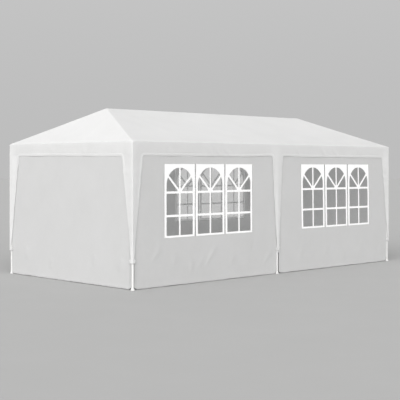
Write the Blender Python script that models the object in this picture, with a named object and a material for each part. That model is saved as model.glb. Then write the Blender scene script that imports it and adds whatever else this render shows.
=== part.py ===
"""White rectangular marquee tent, 6 m x 3 m, with a hipped roof.

Frame: six round legs with flared feet, eave tubes, four hip rafters, two
middle rafters and a two-piece ridge, all plugged into welded sleeve connectors.
Cover: four roof panels, a valance on each side that runs down every leg as a
tapering strip, two plain end walls and four side walls with a window sheet.

Metres, +Z up. X runs along the long side, -Y is the front. The origin is on the
ground at the middle of the footprint.
"""

import math

import bmesh
import bpy
import numpy as np
from mathutils import Matrix, Vector

# ---------------------------------------------------------------- dimensions
LENGTH = 6.000          # cover, outside, along X
WIDTH = 3.000           # cover, outside, along Y
EAVE_Z = 2.040          # fold between roof and valance
RIDGE_Z = 2.580         # top fold of the roof
RIDGE_INSET = 0.750     # end of the ridge, in from the end of the tent
VALANCE_Z = 1.853       # lower hem of the valance
SHEET = 0.002           # cloth, as modelled
GAP = 0.0003            # between pieces that touch

TUBE_R = 0.019          # 38 mm steel tube
SLEEVE_R = 0.0215       # connector sleeve, outside
BORE_R = 0.0194         # connector sleeve, inside
HUB_R = 0.0225          # welded ball at the middle of a connector
FRAME_IN = 0.028        # tube centre lines, in from the cover's outer face
FRAME_EAVE_Z = 2.018    # centre line of the eave tubes
FRAME_RIDGE_Z = 2.5528  # centre line of the ridge tube
RIDGE_END_IN = 0.010    # ridge connector, in from the end of the ridge fold

FOOT_R = 0.034          # flared foot at its base
FOOT_T = 0.005
FLARE_R = 0.0290        # foot where its cone starts
FLARE_TOP_R = 0.0208
FLARE_TOP_Z = 0.032

STRIP_END_Z = 0.365     # lower end of the leg strips
STRIP_END = 0.036       # width of a corner strip there, from the corner
SIDE_STRIP = 0.205      # width at the valance: corner strip, long side
END_STRIP = 0.242       # width at the valance: corner strip, short side
MID_STRIP = 0.123       # half width at the valance: strip on a middle leg
MID_STRIP_END = 0.023   # half width at its lower end
STRIP_FILLET = 0.030

WALL_IN = 0.018         # outer face of the walls, in from the cover's outer face
WALL_BOTTOM = 0.030
WALL_TOP = 1.985
SIDE_WALLS = {          # left edge, right edge and middle of the window, seen from outside
    "front": {"left": (-2.948, -0.025, -1.483), "right": (0.047, 2.948, 1.511)},
    "back": {"left": (-2.948, -0.025, -1.483), "right": (0.047, 2.948, 1.511)},
}
END_WALLS = {"left": (-1.448, 1.448), "right": (-1.448, 1.448)}  # left edge and right edge, seen from outside
WINDOW_W = 1.850        # hole for three printed windows on one clear sheet
WINDOW_Z0 = 0.680
WINDOW_Z1 = 1.726
FILM_LAP = 0.015        # clear sheet welded behind the wall's cut edge
FILM_T = 0.001

HL, HW = LENGTH / 2, WIDTH / 2
FX, FY = HL - FRAME_IN, HW - FRAME_IN
RX = HL - RIDGE_INSET - RIDGE_END_IN

for old in list(bpy.data.objects):
    bpy.data.objects.remove(old, do_unlink=True)


# ----------------------------------------------------------------- materials
def material(name, colour, roughness, metallic=0.0, alpha=1.0):
    m = bpy.data.materials.new(name)
    m.use_nodes = True
    shader = m.node_tree.nodes["Principled BSDF"]
    shader.inputs["Base Color"].default_value = (*colour, 1.0)
    shader.inputs["Roughness"].default_value = roughness
    shader.inputs["Metallic"].default_value = metallic
    shader.inputs["Alpha"].default_value = alpha
    m.diffuse_color = (*colour, alpha)
    return m


STEEL = material("white_coated_steel", (0.86, 0.86, 0.85), 0.35, 0.1)
COVER = material("white_cover_sheet", (0.88, 0.88, 0.88), 0.50)
WALL = material("white_wall_sheet", (0.84, 0.84, 0.84), 0.52)
CLEAR = material("clear_window_sheet", (0.92, 0.93, 0.93), 0.12, 0.0, 0.3)


# ------------------------------------------------------------------- helpers
def add_object(name, bm, mat, smooth_angle=None):
    bmesh.ops.recalc_face_normals(bm, faces=bm.faces)
    mesh = bpy.data.meshes.new(name)
    bm.to_mesh(mesh)
    bm.free()
    mesh.materials.append(mat)
    obj = bpy.data.objects.new(name, mesh)
    bpy.context.scene.collection.objects.link(obj)
    if smooth_angle is not None:
        mesh.shade_smooth()
        mesh.set_sharp_from_angle(angle=math.radians(smooth_angle))
    return obj


def helper(obj):
    obj.hide_render = True
    obj.display_type = "WIRE"
    return obj


def along(direction):
    """Rotation that turns +Z to this direction."""
    return Vector(direction).normalized().to_track_quat("Z", "Y").to_matrix().to_4x4()


def rod_mesh(bm, a, b, radius, sides, chamfer=0.0):
    """A closed round bar from a to b, with its ends broken by a small chamfer."""
    a, b = Vector(a), Vector(b)
    length = (b - a).length
    turn = along(b - a)
    if chamfer:
        rings = [(0, radius - chamfer), (chamfer, radius), (length - chamfer, radius), (length, radius - chamfer)]
    else:
        rings = [(0, radius), (length, radius)]
    loops = []
    for z, r in rings:
        ring = []
        for k in range(sides):
            t = 2 * math.pi * (k + 0.5) / sides
            ring.append(bm.verts.new(a + (turn @ Vector((r * math.cos(t), r * math.sin(t), z)))))
        loops.append(ring)
    for low, high in zip(loops, loops[1:]):
        for k in range(sides):
            n = (k + 1) % sides
            bm.faces.new((low[k], low[n], high[n], high[k]))
    bm.faces.new(loops[0][::-1])
    bm.faces.new(loops[-1])


def rod(name, a, b, radius=TUBE_R, sides=24, mat=STEEL, chamfer=0.0015):
    """A tube of the frame. Its object stands at its middle."""
    a, b = Vector(a), Vector(b)
    middle = (a + b) / 2
    bm = bmesh.new()
    rod_mesh(bm, a - middle, b - middle, radius, sides, chamfer)
    obj = add_object(name, bm, mat, 40)
    obj.location = middle
    return obj


def slab(bm, points, offset):
    """Closed plate: a flat polygon and its copy moved by offset."""
    first = [bm.verts.new(p) for p in points]
    second = [bm.verts.new(Vector(p) + Vector(offset)) for p in points]
    bm.faces.new(first)
    bm.faces.new(second[::-1])
    for k in range(len(points)):
        n = (k + 1) % len(points)
        bm.faces.new((first[n], first[k], second[k], second[n]))


def box_object(name, low, high, mat):
    bm = bmesh.new()
    slab(
        bm,
        [(low[0], low[1], low[2]), (high[0], low[1], low[2]), (high[0], low[1], high[2]), (low[0], low[1], high[2])],
        (0, high[1] - low[1], 0),
    )
    return add_object(name, bm, mat)


def group(name, objects):
    """A collection that a Boolean modifier reads. It isn't drawn."""
    made = bpy.data.collections.new(name)
    bpy.context.scene.collection.children.link(made)
    made.hide_render = True
    for o in objects:
        bpy.context.scene.collection.objects.unlink(o)
        made.objects.link(o)
        helper(o)
    return made


def boolean(obj, operation, other):
    m = obj.modifiers.new(operation.title(), "BOOLEAN")
    m.operation = operation
    m.solver = "EXACT"
    if isinstance(other, bpy.types.Collection):
        m.operand_type = "COLLECTION"
        m.collection = other
    else:
        m.object = other


# ------------------------------------------------------------------- the legs
def leg(name, x, y):
    """A tube with a flared foot, turned about its axis."""
    top = FRAME_EAVE_Z - 0.045
    profile = [
        (FOOT_R - 0.0008, 0.0),
        (FOOT_R, 0.0008),
        (FOOT_R, FOOT_T - 0.001),
        (FOOT_R - 0.001, FOOT_T),
        (FLARE_R, FOOT_T + 0.001),
        ((FLARE_R + FLARE_TOP_R) / 2 - 0.0012, (FOOT_T + FLARE_TOP_Z) / 2),
        (FLARE_TOP_R, FLARE_TOP_Z - 0.001),
        (TUBE_R, FLARE_TOP_Z),
        (TUBE_R, top - 0.0015),
        (TUBE_R - 0.0015, top),
    ]
    sides = 24
    bm = bmesh.new()
    rings = [
        [
            bm.verts.new((r * math.cos(2 * math.pi * k / sides), r * math.sin(2 * math.pi * k / sides), z))
            for k in range(sides)
        ]
        for r, z in profile
    ]
    for low, high in zip(rings, rings[1:]):
        for k in range(sides):
            n = (k + 1) % sides
            bm.faces.new((low[k], low[n], high[n], high[k]))
    bm.faces.new(rings[0][::-1])
    bm.faces.new(rings[-1])
    obj = add_object(name, bm, STEEL, 35)
    obj.location = (x, y, 0)
    return obj


sides_x = (("left", -FX), ("middle", 0.0), ("right", FX))
sides_y = (("front", -FY), ("back", FY))
for ny, y in sides_y:
    for nx, x in sides_x:
        leg(f"leg_{ny}_{nx}", x, y)

# ------------------------------------------------------------- frame geometry
corner = {(ny, nx): Vector((x, y, FRAME_EAVE_Z)) for ny, y in sides_y for nx, x in sides_x}
ridge = {
    "left": Vector((-RX, 0, FRAME_RIDGE_Z)),
    "middle": Vector((0, 0, FRAME_RIDGE_Z)),
    "right": Vector((RX, 0, FRAME_RIDGE_Z)),
}
SOCKET = 0.045       # tube end to the middle of an open connector
WIDE_SOCKET = 0.082  # the same where two sleeves leave at a sharp angle
DEPTH = 0.070        # sleeve over the tube


def tube_between(name, a, b, start=SOCKET, end=SOCKET):
    direction = (b - a).normalized()
    return rod(name, a + direction * start, b - direction * end)


def connector(name, centre, arms):
    """Welded sleeves round a ball. Each arm is (direction, start of its bore)."""
    bm = bmesh.new()
    bmesh.ops.create_uvsphere(bm, u_segments=16, v_segments=10, radius=HUB_R)
    obj = add_object(name, bm, STEEL, 40)
    obj.location = centre
    outer, bores = [], []
    for k, (direction, start) in enumerate(arms):
        d = Vector(direction).normalized()
        sleeve = bmesh.new()
        rod_mesh(sleeve, centre + d * 0.001 * (k + 1), centre + d * (start + DEPTH), SLEEVE_R, 16)
        outer.append(add_object(f"{name}_sleeve_{k}", sleeve, STEEL))
        bore = bmesh.new()
        rod_mesh(bore, centre + d * (start - 0.002), centre + d * (start + DEPTH + 0.05), BORE_R, 16)
        bores.append(add_object(f"{name}_bore_{k}", bore, STEEL))
    boolean(obj, "UNION", group(f"{name}_sleeves", outer))
    boolean(obj, "DIFFERENCE", group(f"{name}_bores", bores))
    return obj


DOWN = Vector((0, 0, -1))
for ny, y in sides_y:
    for nx, x in sides_x:
        here = corner[ny, nx]
        if nx == "middle":
            connector(
                f"eave_connector_{ny}",
                here,
                [(DOWN, SOCKET), ((1, 0, 0), SOCKET), ((-1, 0, 0), SOCKET), (ridge["middle"] - here, SOCKET)],
            )
        else:
            inward_x = Vector((-1 if x > 0 else 1, 0, 0))
            inward_y = Vector((0, -1 if y > 0 else 1, 0))
            connector(
                f"corner_connector_{ny}_{nx}",
                here,
                [(DOWN, SOCKET), (inward_x, SOCKET), (inward_y, WIDE_SOCKET), (ridge[nx] - here, WIDE_SOCKET)],
            )
for nx in ("left", "right"):
    along_ridge = Vector((1 if nx == "left" else -1, 0, 0))
    connector(
        f"ridge_connector_{nx}",
        ridge[nx],
        [(along_ridge, SOCKET)] + [(corner[ny, nx] - ridge[nx], SOCKET) for ny, _ in sides_y],
    )
connector(
    "ridge_connector_middle",
    ridge["middle"],
    [((1, 0, 0), SOCKET), ((-1, 0, 0), SOCKET)]
    + [(corner[ny, "middle"] - ridge["middle"], SOCKET) for ny, _ in sides_y],
)

for ny, _ in sides_y:
    tube_between(f"eave_tube_{ny}_left", corner[ny, "left"], corner[ny, "middle"])
    tube_between(f"eave_tube_{ny}_right", corner[ny, "middle"], corner[ny, "right"])
    tube_between(f"middle_rafter_{ny}", corner[ny, "middle"], ridge["middle"])
    for nx in ("left", "right"):
        tube_between(f"hip_rafter_{ny}_{nx}", corner[ny, nx], ridge[nx], WIDE_SOCKET, SOCKET)
for nx in ("left", "right"):
    tube_between(f"eave_tube_{nx}", corner["front", nx], corner["back", nx], WIDE_SOCKET, WIDE_SOCKET)
    tube_between(f"ridge_tube_{nx}", ridge[nx], ridge["middle"])


# ------------------------------------------------------------- the roof panels
def plane_of(a, b, c):
    """Unit normal and distance of the plane through three points."""
    a, b, c = (np.array(p, float) for p in (a, b, c))
    n = np.cross(b - a, c - a)
    n = n / np.linalg.norm(n)
    return n, float(n @ a)


def meet(*planes):
    """The point that three planes share."""
    return Vector(np.linalg.solve(np.array([p[0] for p in planes]), np.array([p[1] for p in planes])))


fl, fr = (-HL, -HW, EAVE_Z), (HL, -HW, EAVE_Z)
bl, br = (-HL, HW, EAVE_Z), (HL, HW, EAVE_Z)
rl, rr = (-HL + RIDGE_INSET, 0, RIDGE_Z), (HL - RIDGE_INSET, 0, RIDGE_Z)
slopes = {
    "front": plane_of(fl, fr, rr),
    "right": plane_of(fr, br, rr),
    "back": plane_of(br, bl, rl),
    "left": plane_of(bl, fl, rl),
}


def mitre(here, other, point):
    """The plane that halves the fold between two slopes, moved a hair towards this slope."""
    n = slopes[other][0] - slopes[here][0]
    n = n / np.linalg.norm(n)
    return n, float(n @ np.array(point, float)) - GAP / 2


def lowered(plane):
    return plane[0], plane[1] - SHEET


def roof_panel(side):
    """A sheet between its eave and its folds, its edges cut along the folds' mitre planes."""
    eave = {
        "front": (np.array((0, -1.0, 0)), HW),
        "back": (np.array((0, 1.0, 0)), HW),
        "left": (np.array((-1.0, 0, 0)), HL),
        "right": (np.array((1.0, 0, 0)), HL),
    }[side]
    if side in ("front", "back"):
        opposite = "back" if side == "front" else "front"
        cuts = [eave, mitre(side, "right", rr), mitre(side, opposite, rr), mitre(side, "left", rl)]
    else:
        apex = rr if side == "right" else rl
        cuts = [eave, mitre(side, "front", apex), mitre(side, "back", apex)]
    bm = bmesh.new()
    rings = []
    for surface in (slopes[side], lowered(slopes[side])):
        rings.append([bm.verts.new(meet(surface, a, b)) for a, b in zip(cuts, cuts[1:] + cuts[:1])])
    bm.faces.new(rings[0])
    bm.faces.new(rings[1][::-1])
    for k in range(len(cuts)):
        n = (k + 1) % len(cuts)
        bm.faces.new((rings[0][n], rings[0][k], rings[1][k], rings[1][n]))
    add_object(f"roof_panel_{side}", bm, COVER)


for side in ("front", "back", "left", "right"):
    roof_panel(side)


# ---------------------------------------------- valances with their leg strips
def fillet(at, side, drop_to):
    """The rounded inner corner where a strip's edge leaves the valance's hem.

    at is where the straight strip edge would meet the hem, side is +1 where the
    open bay lies at larger u, and drop_to is the strip's lower end (u, z)."""
    corner_point = Vector((at, VALANCE_Z))
    down = (Vector(drop_to) - corner_point).normalized()
    level = Vector((side, 0.0))
    points = []
    for k in range(5):
        t = k / 4
        a = corner_point + level * STRIP_FILLET * (1 - t)
        b = corner_point + down * STRIP_FILLET * t
        points.append(a * (1 - t) + b * t)
    return points


def valance_outline(half, corner_strip, middle):
    """Outline in (u, z), counter-clockwise, seen from outside. It starts at the top left."""
    top = EAVE_Z - SHEET / math.cos(math.atan2(RIDGE_Z - EAVE_Z, RIDGE_INSET)) - GAP
    outline = [Vector((-half, top)), Vector((-half, STRIP_END_Z)), Vector((-half + STRIP_END, STRIP_END_Z))]
    outline += fillet(-half + corner_strip, 1, (-half + STRIP_END, STRIP_END_Z))[::-1]
    if middle:
        outline += fillet(-MID_STRIP, -1, (-MID_STRIP_END, STRIP_END_Z))
        outline += [Vector((-MID_STRIP_END, STRIP_END_Z)), Vector((MID_STRIP_END, STRIP_END_Z))]
        outline += fillet(MID_STRIP, 1, (MID_STRIP_END, STRIP_END_Z))[::-1]
    outline += fillet(half - corner_strip, -1, (half - STRIP_END, STRIP_END_Z))
    outline += [Vector((half - STRIP_END, STRIP_END_Z)), Vector((half, STRIP_END_Z)), Vector((half, top))]
    return outline


for side, y in (("front", -HW), ("back", HW)):
    bm = bmesh.new()
    step = SHEET if y < 0 else -SHEET
    slab(bm, [(p.x, y, p.y) for p in valance_outline(HL, SIDE_STRIP, True)], (0, step, 0))
    add_object(f"valance_{side}", bm, COVER)
for side, x in (("left", -HL), ("right", HL)):
    bm = bmesh.new()
    step = SHEET if x < 0 else -SHEET
    slab(bm, [(x, p.x, p.y) for p in valance_outline(HW - SHEET - GAP, END_STRIP, False)], (step, 0, 0))
    add_object(f"valance_{side}", bm, COVER)


# -------------------------------------------------------------------- the walls
WX, WY = HL - WALL_IN, HW - WALL_IN
# The walls hang between the legs. The back is the front turned half round, so a
# wall on the left seen from outside the back stands at +X.
for ny, turn in (("front", 1), ("back", -1)):
    outer, inner = -turn * WY, -turn * (WY - SHEET)
    film_outer, film_inner = -turn * (WY - SHEET - GAP), -turn * (WY - SHEET - GAP - FILM_T)
    for seen, (left_edge, right_edge, window_x) in SIDE_WALLS[ny].items():
        nx = seen if turn == 1 else {"left": "right", "right": "left"}[seen]
        x_a, x_b = sorted((turn * left_edge, turn * right_edge))
        wall = box_object(
            f"window_wall_{ny}_{nx}",
            (x_a, min(outer, inner), WALL_BOTTOM),
            (x_b, max(outer, inner), WALL_TOP),
            WALL,
        )
        middle = turn * window_x
        cut = box_object(
            f"window_cut_{ny}_{nx}",
            (middle - WINDOW_W / 2, outer - 0.05, WINDOW_Z0),
            (middle + WINDOW_W / 2, outer + 0.05, WINDOW_Z1),
            WALL,
        )
        boolean(wall, "DIFFERENCE", helper(cut))
        box_object(
            f"window_film_{ny}_{nx}",
            (middle - WINDOW_W / 2 - FILM_LAP, min(film_outer, film_inner), WINDOW_Z0 - FILM_LAP),
            (middle + WINDOW_W / 2 + FILM_LAP, max(film_outer, film_inner), WINDOW_Z1 + FILM_LAP),
            CLEAR,
        )
for nx, turn in (("left", 1), ("right", -1)):
    x_a, x_b = sorted((-turn * WX, -turn * (WX - SHEET)))
    y_a, y_b = sorted((-turn * END_WALLS[nx][0], -turn * END_WALLS[nx][1]))
    box_object(f"end_wall_{nx}", (x_a, y_a, WALL_BOTTOM), (x_b, y_b, WALL_TOP), WALL)
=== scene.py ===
"""Looks of the white marquee tent: cover, walls, windows, ties and finishes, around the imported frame."""

import math

import bmesh
import bpy
import numpy as np
from mathutils import Matrix, Vector
from mathutils.geometry import delaunay_2d_cdt


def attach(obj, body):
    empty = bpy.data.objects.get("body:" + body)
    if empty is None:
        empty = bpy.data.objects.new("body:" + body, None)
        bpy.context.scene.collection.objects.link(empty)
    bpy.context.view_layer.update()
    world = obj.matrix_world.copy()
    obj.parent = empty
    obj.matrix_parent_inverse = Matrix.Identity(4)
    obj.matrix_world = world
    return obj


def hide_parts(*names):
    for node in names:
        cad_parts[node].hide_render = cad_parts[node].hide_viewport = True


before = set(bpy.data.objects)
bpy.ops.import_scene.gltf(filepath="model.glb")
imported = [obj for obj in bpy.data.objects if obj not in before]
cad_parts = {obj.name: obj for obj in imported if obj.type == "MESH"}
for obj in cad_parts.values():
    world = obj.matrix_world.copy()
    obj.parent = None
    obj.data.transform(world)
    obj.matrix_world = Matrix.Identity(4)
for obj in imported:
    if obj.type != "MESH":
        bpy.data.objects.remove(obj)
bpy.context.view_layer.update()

# ------------------------------------------------------------------- camera
cam_data = bpy.data.cameras.new("camera")
cam_data.sensor_width = 36.0
cam_data.lens = 87.31
cam_data.shift_y = -0.0834
cam_data.clip_start, cam_data.clip_end = 0.1, 300.0
camera = bpy.data.objects.new("camera", cam_data)
camera.location = (-11.537, -11.590, 1.687)
camera.rotation_euler = (math.radians(90.0), 0.0, math.radians(-44.22))
bpy.context.scene.collection.objects.link(camera)
bpy.context.scene.camera = camera

# -------------------------------------------------------------------- sizes
HL, HW = 3.000, 1.500            # outer faces of the cover
EAVE_Z, RIDGE_Z, RIDGE_X = 2.040, 2.580, 2.250
HEM_Z = 1.853                    # lower edge of the valance
STRIP_END_Z = 0.368              # lower end of the leg strips
SIDE_STRIP, SIDE_STRIP_END = 0.206, 0.030
END_STRIP, END_STRIP_END = 0.243, 0.034
MID_STRIP, MID_STRIP_END = 0.124, 0.024
NECK_Z, CUFF_Z = 0.428, 0.404     # where the strips are narrowest, and where their wider lower ends begin
SIDE_CUFF, END_CUFF, MID_CUFF = 0.060, 0.070, 0.043
FILLET = 0.030
TUBE_R = 0.019
FRAME_IN = 0.028                 # tube centres, in from the cover's outer face
WALL_IN = 0.018                  # walls, in from the cover's outer face
WALL_Z = (0.009, 1.985)
HOLE_W, HOLE_Z = 1.850, (0.680, 1.726)
DZ = -0.009                      # printed windows against the first measured heights
UP = np.array((0.0, 0.0, 1.0))

# Each side seen from outside: its u axis runs to the right, its n axis points outwards.
SIDES = {
    "front": (np.array((1.0, 0, 0)), np.array((0, -1.0, 0)), HL, HW),
    "right": (np.array((0, 1.0, 0)), np.array((1.0, 0, 0)), HW, HL),
    "back": (np.array((-1.0, 0, 0)), np.array((0, 1.0, 0)), HL, HW),
    "left": (np.array((0, -1.0, 0)), np.array((-1.0, 0, 0)), HW, HL),
}


def on_side(side, u, z, out):
    """Points on a side of the tent. out is the distance outside the cover's outer face."""
    U, N, _, dist = SIDES[side]
    u, z, out = np.broadcast_arrays(np.asarray(u, float), np.asarray(z, float), np.asarray(out, float))
    return u[:, None] * U + (dist + out)[:, None] * N + z[:, None] * UP


# ------------------------------------------------------------- small helpers
def smooth(t):
    t = np.clip(t, 0.0, 1.0)
    return t * t * (3 - 2 * t)


def ripple(seed, short, long, n=14):
    """A smooth random field about -1 to 1, made of plane waves between two wavelengths."""
    rng = np.random.default_rng(seed)
    lam = np.exp(rng.uniform(math.log(short), math.log(long), n))
    ang, ph = rng.uniform(0, math.pi, n), rng.uniform(0, 2 * math.pi, n)
    amp = (lam / lam.max()) ** 0.9
    amp = amp / math.sqrt((amp**2).sum() / 2) / 1.6

    def f(u, v):
        total = np.zeros(np.shape(u))
        for L, a, p, m in zip(lam, ang, ph, amp):
            total = total + m * np.sin(2 * math.pi * (u * math.cos(a) + v * math.sin(a)) / L + p)
        return total

    return f


def fold(u, v, a, b, width, height):
    """A soft ridge in the cloth from a to b, narrow at a and wide at b, which dies away at both ends."""
    du, dv = b[0] - a[0], b[1] - a[1]
    L = math.hypot(du, dv)
    t = ((u - a[0]) * du + (v - a[1]) * dv) / L**2
    s = ((u - a[0]) * dv - (v - a[1]) * du) / L
    w = width * (0.65 + 0.7 * np.clip(t, 0, 1))
    fade = smooth((t + 0.2) / 0.45) * smooth((1.25 - t) / 0.55)
    return height * np.exp(-((s / w) ** 2)) * fade


def spaced(a, b, step):
    """Points from a towards b, without b."""
    a, b = np.asarray(a, float), np.asarray(b, float)
    n = max(1, int(math.ceil(np.linalg.norm(b - a) / step)))
    return [a + (b - a) * k / n for k in range(n)]


def dense(corners, step, closed=True):
    """The polyline through these corners with points no further apart than step."""
    pts = []
    pairs = list(zip(corners, list(corners[1:]) + [corners[0]])) if closed else list(zip(corners, corners[1:]))
    for a, b in pairs:
        pts += spaced(a, b, step)
    if not closed:
        pts.append(np.asarray(corners[-1], float))
    return np.array(pts)


def inside(polygon, p):
    """Which points p (n, 2) lie in a closed polygon."""
    x, y = p[:, 0], p[:, 1]
    hit = np.zeros(len(p), bool)
    q = np.asarray(polygon, float)
    for (x0, y0), (x1, y1) in zip(q, np.roll(q, -1, axis=0)):
        if y0 == y1:
            continue
        cross = (y0 > y) != (y1 > y)
        hit ^= cross & (x < (x1 - x0) * (y - y0) / (y1 - y0) + x0)
    return hit


def clear_of(lines, p, gap):
    """Which points p lie at least gap away from every segment."""
    ok = np.ones(len(p), bool)
    for a, b in lines:
        a, b = np.asarray(a, float), np.asarray(b, float)
        d = b - a
        t = np.clip(((p - a) @ d) / max(d @ d, 1e-12), 0, 1)
        ok &= np.hypot(*(p - (a + t[:, None] * d)).T) >= gap
    return ok


def hexes(x0, x1, y0, y1, step):
    """A triangular grid of points over a box."""
    dy = step * math.sqrt(3) / 2
    rows = int((y1 - y0) / dy) + 2
    cols = int((x1 - x0) / step) + 2
    i, j = np.meshgrid(np.arange(cols), np.arange(rows))
    x = x0 + (i + 0.5 * (j % 2)) * step
    y = y0 + j * dy
    return np.stack([x.ravel(), y.ravel()], 1)


def triangulate(loops, extra, keep, lines=()):
    """Triangles between closed loops (each (n, 2)), open lines and extra points. keep says which centres stay."""
    pts, edges = [], []
    for loop, closed in [(l, True) for l in loops] + [(l, False) for l in lines]:
        start = len(pts)
        pts += [tuple(p) for p in loop]
        n = len(loop)
        edges += [(start + k, start + (k + 1) % n) for k in range(n if closed else n - 1)]
    pts += [tuple(p) for p in extra]
    out = delaunay_2d_cdt([Vector((float(x), float(y))) for x, y in pts], edges, [], 0, 1e-6)
    v = np.array([(p.x, p.y) for p in out[0]])
    f = np.array([tuple(t) for t in out[2]], int)
    c = v[f].mean(1)
    f = f[keep(c)]
    used = np.unique(f)
    again = np.full(len(v), -1)
    again[used] = np.arange(len(used))
    return v[used], again[f]


def new_mesh(name, verts, faces, uv=None, smooth_faces=True, weld=0.0):
    """A mesh object from arrays. uv gives each vertex its place on the flat cloth, in metres."""
    me = bpy.data.meshes.new(name)
    me.from_pydata([tuple(map(float, p)) for p in verts], [], [tuple(map(int, f)) for f in faces])
    if uv is not None:
        layer = me.uv_layers.new(name="cloth")
        loops = np.zeros(len(me.loops), int)
        me.loops.foreach_get("vertex_index", loops)
        layer.data.foreach_set("uv", np.asarray(uv, np.float32)[loops].ravel())
    if weld:
        bm = bmesh.new()
        bm.from_mesh(me)
        bmesh.ops.remove_doubles(bm, verts=bm.verts, dist=weld)
        bm.to_mesh(me)
        bm.free()
    me.validate()
    me.update()
    if smooth_faces:
        me.shade_smooth()
    obj = bpy.data.objects.new(name, me)
    bpy.context.scene.collection.objects.link(obj)
    return obj


def fix_normals(obj):
    bm = bmesh.new()
    bm.from_mesh(obj.data)
    bmesh.ops.recalc_face_normals(bm, faces=bm.faces)
    bm.to_mesh(obj.data)
    bm.free()
    obj.data.shade_smooth()
    obj.data.set_sharp_from_angle(angle=math.radians(50))
    return obj


def join_parts(parts):
    """Stacks (verts, faces, uv) groups into one."""
    V, F, T, n = [], [], [], 0
    for v, f, t in parts:
        V.append(np.asarray(v, float))
        T.append(np.asarray(t, float))
        F += [tuple(int(i) + n for i in face) for face in f]
        n += len(v)
    return np.concatenate(V), F, np.concatenate(T)


# ----------------------------------------------------------------- materials
class Nodes:
    """Short names for building a node material."""

    def __init__(self, name):
        self.mat = bpy.data.materials.new(name)
        self.mat.use_nodes = True
        self.t = self.mat.node_tree
        self.t.nodes.clear()
        self.out = self.add("ShaderNodeOutputMaterial")

    def add(self, kind, **values):
        n = self.t.nodes.new(kind)
        for k, v in values.items():
            setattr(n, k, v)
        return n

    def link(self, a, b):
        self.t.links.new(a, b)

    def math(self, op, a, b=None, c=None, clamp=False):
        n = self.add("ShaderNodeMath", operation=op, use_clamp=clamp)
        for k, x in enumerate((a, b, c)):
            if x is None:
                continue
            if isinstance(x, (int, float)):
                n.inputs[k].default_value = x
            else:
                self.link(x, n.inputs[k])
        return n.outputs[0]

    def noise(self, vector, scale, detail=3.0, rough=0.5):
        n = self.add("ShaderNodeTexNoise")
        n.inputs["Scale"].default_value = scale
        n.inputs["Detail"].default_value = detail
        n.inputs["Roughness"].default_value = rough
        self.link(vector, n.inputs["Vector"])
        return n.outputs[0]

    def ramp(self, value, low, high, a, b):
        n = self.add("ShaderNodeMapRange")
        n.inputs["From Min"].default_value = low
        n.inputs["From Max"].default_value = high
        n.inputs["To Min"].default_value = a
        n.inputs["To Max"].default_value = b
        self.link(value, n.inputs["Value"])
        return n.outputs[0]

    def tint(self, value, dark, light):
        """A colour between two, by a value from 0 to 1."""
        n = self.add("ShaderNodeMix", data_type="RGBA")
        self.link(value, n.inputs[0])
        n.inputs[6].default_value = (*dark, 1)
        n.inputs[7].default_value = (*light, 1)
        return n.outputs[2]

    def bump(self, height, distance, strength=1.0, normal=None):
        n = self.add("ShaderNodeBump")
        n.inputs["Distance"].default_value = distance
        n.inputs["Strength"].default_value = strength
        self.link(height, n.inputs["Height"])
        if normal is not None:
            self.link(normal, n.inputs["Normal"])
        return n.outputs[0]


def principled(k, colour, rough, normal=None, **values):
    p = k.add("ShaderNodeBsdfPrincipled")
    for socket, x in (("Base Color", colour), ("Roughness", rough)):
        if isinstance(x, (int, float)):
            p.inputs[socket].default_value = x
        elif isinstance(x, tuple):
            p.inputs[socket].default_value = (*x, 1)
        else:
            k.link(x, p.inputs[socket])
    if normal is not None:
        k.link(normal, p.inputs["Normal"])
    for s, x in values.items():
        p.inputs[s.replace("_", " ")].default_value = x
    return p


def cloth_material(name, albedo, rough, through, tape=0.0026, warm=0.0, seed=0.0):
    """Laminated woven sheet: flat tapes over and under each other, a thin glossy film on top, and light that comes
    through. The colour is a little darker where the weave's bump height is low: painted shade in the dips of the
    weave.
    """
    k = Nodes(name)
    uv = k.add("ShaderNodeUVMap", uv_map="cloth").outputs[0]
    sep = k.add("ShaderNodeSeparateXYZ")
    k.link(uv, sep.inputs[0])
    obj = k.add("ShaderNodeTexCoord").outputs["Object"]
    su = k.math("SINE", k.math("MULTIPLY", sep.outputs[0], math.pi / tape))
    sv = k.math("SINE", k.math("MULTIPLY", sep.outputs[1], math.pi / tape))
    weave = k.math("MULTIPLY_ADD", k.math("MULTIPLY", su, sv), 0.5, 0.5)
    cloud = k.noise(obj, 2.3, 4.0, 0.55)
    streak = k.noise(obj, 14.0, 3.0, 0.6)
    crinkle = k.noise(obj, 46.0, 5.0, 0.62)
    shade = k.math("ADD", k.math("MULTIPLY", cloud, 0.72), k.math("MULTIPLY", streak, 0.28))
    # painted shade: where the weave's bump height is low the colour turns a little darker
    shade = k.math("MULTIPLY_ADD", k.math("SUBTRACT", weave, 0.5), 0.16, shade)
    lo, hi = albedo * 0.975, min(albedo * 1.02, 0.97)
    colour = k.tint(k.ramp(shade, 0.30, 0.70, 0, 1), (lo, lo, lo * (0.998 - warm)), (hi, hi, hi * (1 - warm)))
    roughness = k.ramp(k.math("ADD", k.math("MULTIPLY", streak, 0.6), k.math("MULTIPLY", weave, 0.4)), 0.2, 0.8, rough - 0.06, rough + 0.08)
    normal = k.bump(crinkle, 0.0011, 0.55)
    normal = k.bump(weave, 0.00022, 0.7, normal)
    p = principled(k, colour, roughness, normal, IOR=1.50)
    t = k.add("ShaderNodeBsdfTranslucent")
    k.link(colour, t.inputs["Color"])
    mix = k.add("ShaderNodeMixShader")
    mix.inputs[0].default_value = through
    k.link(p.outputs[0], mix.inputs[1])
    k.link(t.outputs[0], mix.inputs[2])
    k.link(mix.outputs[0], k.out.inputs[0])
    return k.mat


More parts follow.
